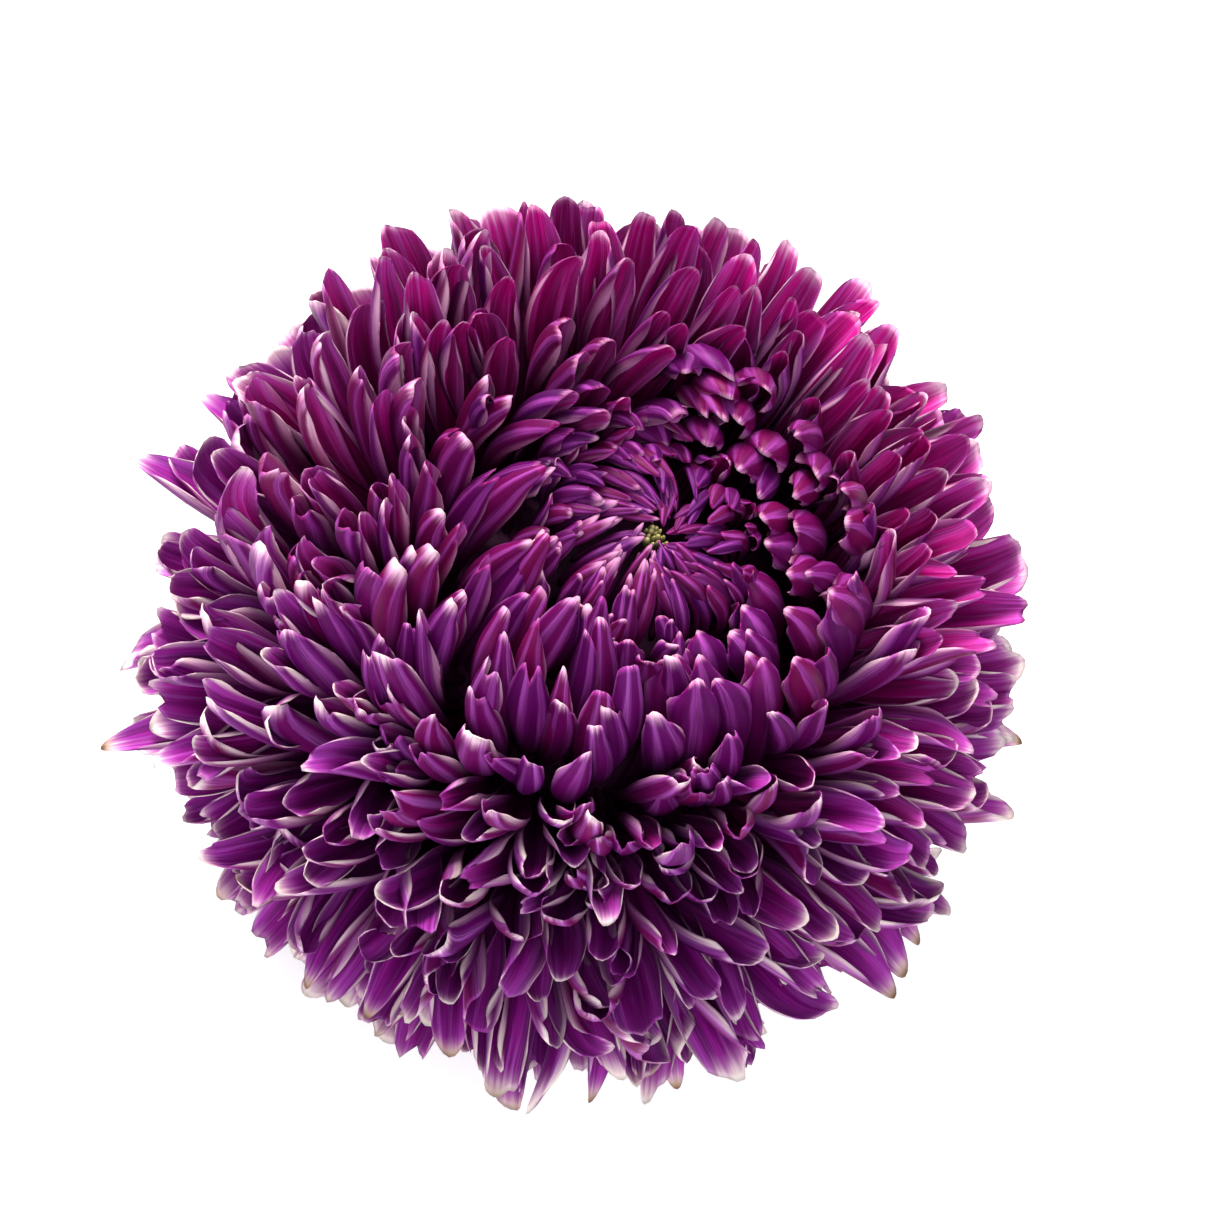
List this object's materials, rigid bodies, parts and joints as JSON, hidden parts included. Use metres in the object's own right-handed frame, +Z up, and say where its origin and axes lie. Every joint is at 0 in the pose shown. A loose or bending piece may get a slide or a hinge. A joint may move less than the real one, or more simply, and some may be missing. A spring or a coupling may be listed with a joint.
{
  "type": "pompon chrysanthemum bloom",
  "caption": "Full round chrysanthemum bloom of cupped purple ray florets round a tight crown and a small green eye, cut short and lying face up.",
  "frame": {"origin": "on the surface the bloom rests on, under the middle of its bounds", "axes": "+Z up along the bloom's axis, out of its face; +Y away from the viewer of the picture"},
  "size_m": [0.1148, 0.1146, 0.0755],
  "materials": {
    "outer_floret": "satin petal, magenta inside, pale at the tip",
    "inner_floret": "satin petal, violet back with pale streaks",
    "crown_floret": "satin petal, violet",
    "eye_bud": "matt yellow-green",
    "bract": "matt green with pale papery edges",
    "stem": "matt green, finely ribbed"
  },
  "bodies": {
    "root": {"outer_florets": "outer_floret", "inner_florets": "inner_floret", "crown_florets": "crown_floret", "eye_buds": "eye_bud", "involucre": "bract", "stem": "stem"}
  },
  "joints": []
}
